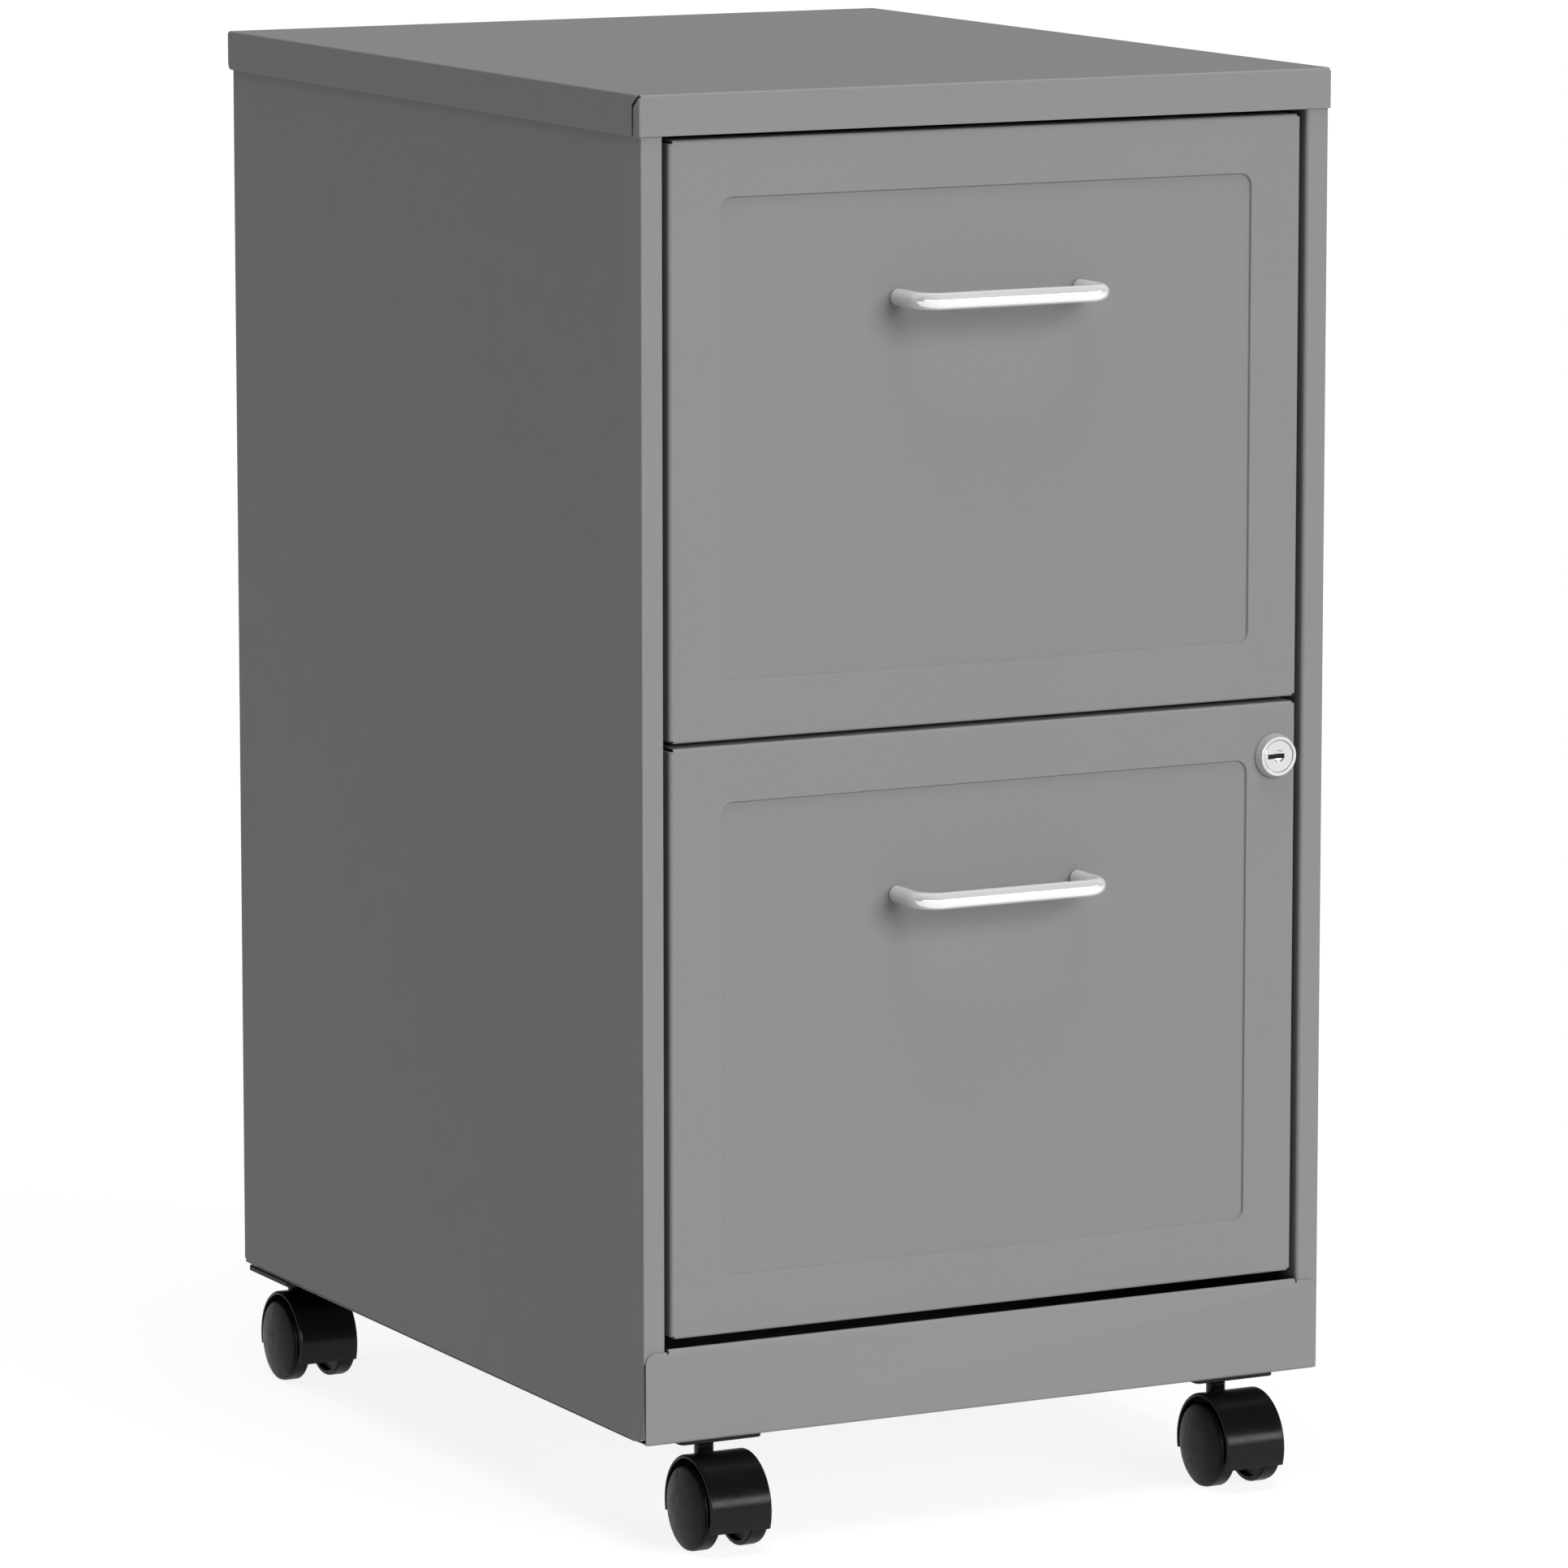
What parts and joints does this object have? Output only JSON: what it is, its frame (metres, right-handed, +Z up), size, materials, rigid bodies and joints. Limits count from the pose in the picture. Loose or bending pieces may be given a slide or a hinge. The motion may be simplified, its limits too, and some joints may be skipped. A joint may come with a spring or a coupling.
{
  "type": "filing cabinet",
  "caption": "Upright sheet steel filing cabinet with sliding drawers, wire pulls, a cam lock and swivelling hooded casters.",
  "frame": {"origin": "on the floor, under the middle of the whole object, handles included", "axes": "+Z up, the drawers open towards -Y, +X to the right as seen from the front"},
  "size_m": [0.362, 0.4858, 0.676],
  "materials": {
    "grey_paint": "fine-textured satin powder coat",
    "black_paint": "satin black paint",
    "zinc": "bright zinc plate",
    "chrome": "polished chrome plate",
    "nickel": "satin nickel plate",
    "hood_plastic": "gloss black",
    "wheel_plastic": "satin black",
    "nylon": "white nylon"
  },
  "bodies": {
    "case": {"top_cap": "grey_paint", "left_side_panel": "grey_paint", "right_side_panel": "grey_paint", "back_panel": "grey_paint", "kick_plate": "grey_paint", "base_panel": "grey_paint", "upper_left_case_rail": "zinc", "upper_right_case_rail": "zinc", "lower_left_case_rail": "zinc", "lower_right_case_rail": "zinc", "front_left_caster_plate": "black_paint", "front_right_caster_plate": "black_paint", "rear_left_caster_plate": "black_paint", "rear_right_caster_plate": "black_paint"},
    "upper_drawer": {"upper_drawer_front": "grey_paint", "upper_drawer_left_side": "grey_paint", "upper_drawer_right_side": "grey_paint", "upper_drawer_bottom": "grey_paint", "upper_drawer_back": "grey_paint", "upper_handle": "chrome", "upper_handle_left_screw": "zinc", "upper_handle_right_screw": "zinc"},
    "upper_left_case_roller": {"upper_left_case_roller": "nylon"},
    "upper_left_drawer_roller": {"upper_left_drawer_roller": "nylon"},
    "upper_right_case_roller": {"upper_right_case_roller": "nylon"},
    "upper_right_drawer_roller": {"upper_right_drawer_roller": "nylon"},
    "lower_drawer": {"lower_drawer_front": "grey_paint", "lower_drawer_left_side": "grey_paint", "lower_drawer_right_side": "grey_paint", "lower_drawer_bottom": "grey_paint", "lower_drawer_back": "grey_paint", "lower_handle": "chrome", "lower_handle_left_screw": "zinc", "lower_handle_right_screw": "zinc", "lock_barrel": "nickel", "lock_nut": "zinc"},
    "lower_left_case_roller": {"lower_left_case_roller": "nylon"},
    "lower_left_drawer_roller": {"lower_left_drawer_roller": "nylon"},
    "lower_right_case_roller": {"lower_right_case_roller": "nylon"},
    "lower_right_drawer_roller": {"lower_right_drawer_roller": "nylon"},
    "lock_core": {"lock_plug": "nickel", "lock_cam": "zinc", "lock_cam_screw": "zinc"},
    "front_left_caster": {"front_left_caster_hood": "hood_plastic", "front_left_caster_axle": "zinc"},
    "front_left_caster_left_wheel": {"front_left_caster_left_wheel": "wheel_plastic"},
    "front_left_caster_right_wheel": {"front_left_caster_right_wheel": "wheel_plastic"},
    "front_right_caster": {"front_right_caster_hood": "hood_plastic", "front_right_caster_axle": "zinc"},
    "front_right_caster_left_wheel": {"front_right_caster_left_wheel": "wheel_plastic"},
    "front_right_caster_right_wheel": {"front_right_caster_right_wheel": "wheel_plastic"},
    "rear_left_caster": {"rear_left_caster_hood": "hood_plastic", "rear_left_caster_axle": "zinc"},
    "rear_left_caster_left_wheel": {"rear_left_caster_left_wheel": "wheel_plastic"},
    "rear_left_caster_right_wheel": {"rear_left_caster_right_wheel": "wheel_plastic"},
    "rear_right_caster": {"rear_right_caster_hood": "hood_plastic", "rear_right_caster_axle": "zinc"},
    "rear_right_caster_left_wheel": {"rear_right_caster_left_wheel": "wheel_plastic"},
    "rear_right_caster_right_wheel": {"rear_right_caster_right_wheel": "wheel_plastic"}
  },
  "joints": [
    {"name": "upper_drawer_slide", "type": "slide", "parent": "case", "child": "upper_drawer", "axis": [0, -1, 0], "range_m": [0, 0.3]},
    {"name": "upper_left_case_roller_spin", "type": "hinge", "parent": "case", "child": "upper_left_case_roller", "pos_m": [-0.1615, -0.184, 0.4124], "axis": [1, 0, 0], "continuous": true},
    {"name": "upper_left_drawer_roller_spin", "type": "hinge", "parent": "upper_drawer", "child": "upper_left_drawer_roller", "pos_m": [-0.1615, 0.211, 0.409], "axis": [1, 0, 0], "continuous": true},
    {"name": "upper_right_case_roller_spin", "type": "hinge", "parent": "case", "child": "upper_right_case_roller", "pos_m": [0.1615, -0.184, 0.4124], "axis": [1, 0, 0], "continuous": true},
    {"name": "upper_right_drawer_roller_spin", "type": "hinge", "parent": "upper_drawer", "child": "upper_right_drawer_roller", "pos_m": [0.1615, 0.211, 0.409], "axis": [1, 0, 0], "continuous": true},
    {"name": "lower_drawer_slide", "type": "slide", "parent": "case", "child": "lower_drawer", "axis": [0, -1, 0], "range_m": [0, 0.3]},
    {"name": "lower_left_case_roller_spin", "type": "hinge", "parent": "case", "child": "lower_left_case_roller", "pos_m": [-0.1615, -0.184, 0.1351], "axis": [1, 0, 0], "continuous": true},
    {"name": "lower_left_drawer_roller_spin", "type": "hinge", "parent": "lower_drawer", "child": "lower_left_drawer_roller", "pos_m": [-0.1615, 0.211, 0.1317], "axis": [1, 0, 0], "continuous": true},
    {"name": "lower_right_case_roller_spin", "type": "hinge", "parent": "case", "child": "lower_right_case_roller", "pos_m": [0.1615, -0.184, 0.1351], "axis": [1, 0, 0], "continuous": true},
    {"name": "lower_right_drawer_roller_spin", "type": "hinge", "parent": "lower_drawer", "child": "lower_right_drawer_roller", "pos_m": [0.1615, 0.211, 0.1317], "axis": [1, 0, 0], "continuous": true},
    {"name": "lock_turn", "type": "hinge", "parent": "lower_drawer", "child": "lock_core", "pos_m": [0.154, -0.2125, 0.3521], "axis": [0, -1, 0], "range_deg": [0, 90]},
    {"name": "front_left_caster_swivel", "type": "hinge", "parent": "case", "child": "front_left_caster", "pos_m": [-0.1375, -0.1905, 0.04], "axis": [0, 0, 1], "continuous": true},
    {"name": "front_left_caster_left_wheel_spin", "type": "hinge", "parent": "front_left_caster", "child": "front_left_caster_left_wheel", "pos_m": [-0.1507, -0.205, 0.02], "axis": [1, 0, 0], "continuous": true},
    {"name": "front_left_caster_right_wheel_spin", "type": "hinge", "parent": "front_left_caster", "child": "front_left_caster_right_wheel", "pos_m": [-0.1243, -0.205, 0.02], "axis": [1, 0, 0], "continuous": true},
    {"name": "front_right_caster_swivel", "type": "hinge", "parent": "case", "child": "front_right_caster", "pos_m": [0.1375, -0.1905, 0.04], "axis": [0, 0, 1], "continuous": true},
    {"name": "front_right_caster_left_wheel_spin", "type": "hinge", "parent": "front_right_caster", "child": "front_right_caster_left_wheel", "pos_m": [0.1243, -0.205, 0.02], "axis": [1, 0, 0], "continuous": true},
    {"name": "front_right_caster_right_wheel_spin", "type": "hinge", "parent": "front_right_caster", "child": "front_right_caster_right_wheel", "pos_m": [0.1507, -0.205, 0.02], "axis": [1, 0, 0], "continuous": true},
    {"name": "rear_left_caster_swivel", "type": "hinge", "parent": "case", "child": "rear_left_caster", "pos_m": [-0.16, 0.2195, 0.04], "axis": [0, 0, 1], "continuous": true},
    {"name": "rear_left_caster_left_wheel_spin", "type": "hinge", "parent": "rear_left_caster", "child": "rear_left_caster_left_wheel", "pos_m": [-0.1732, 0.205, 0.02], "axis": [1, 0, 0], "continuous": true},
    {"name": "rear_left_caster_right_wheel_spin", "type": "hinge", "parent": "rear_left_caster", "child": "rear_left_caster_right_wheel", "pos_m": [-0.1468, 0.205, 0.02], "axis": [1, 0, 0], "continuous": true},
    {"name": "rear_right_caster_swivel", "type": "hinge", "parent": "case", "child": "rear_right_caster", "pos_m": [0.16, 0.2195, 0.04], "axis": [0, 0, 1], "continuous": true},
    {"name": "rear_right_caster_left_wheel_spin", "type": "hinge", "parent": "rear_right_caster", "child": "rear_right_caster_left_wheel", "pos_m": [0.1468, 0.205, 0.02], "axis": [1, 0, 0], "continuous": true},
    {"name": "rear_right_caster_right_wheel_spin", "type": "hinge", "parent": "rear_right_caster", "child": "rear_right_caster_right_wheel", "pos_m": [0.1732, 0.205, 0.02], "axis": [1, 0, 0], "continuous": true}
  ],
  "couplings": [
    {"joint": "upper_left_case_roller_spin", "follows": "upper_drawer_slide", "rad_per_m": 111.11},
    {"joint": "upper_left_drawer_roller_spin", "follows": "upper_drawer_slide", "rad_per_m": 111.11},
    {"joint": "upper_right_case_roller_spin", "follows": "upper_drawer_slide", "rad_per_m": 111.11},
    {"joint": "upper_right_drawer_roller_spin", "follows": "upper_drawer_slide", "rad_per_m": 111.11},
    {"joint": "lower_left_case_roller_spin", "follows": "lower_drawer_slide", "rad_per_m": 111.11},
    {"joint": "lower_left_drawer_roller_spin", "follows": "lower_drawer_slide", "rad_per_m": 111.11},
    {"joint": "lower_right_case_roller_spin", "follows": "lower_drawer_slide", "rad_per_m": 111.11},
    {"joint": "lower_right_drawer_roller_spin", "follows": "lower_drawer_slide", "rad_per_m": 111.11}
  ]
}
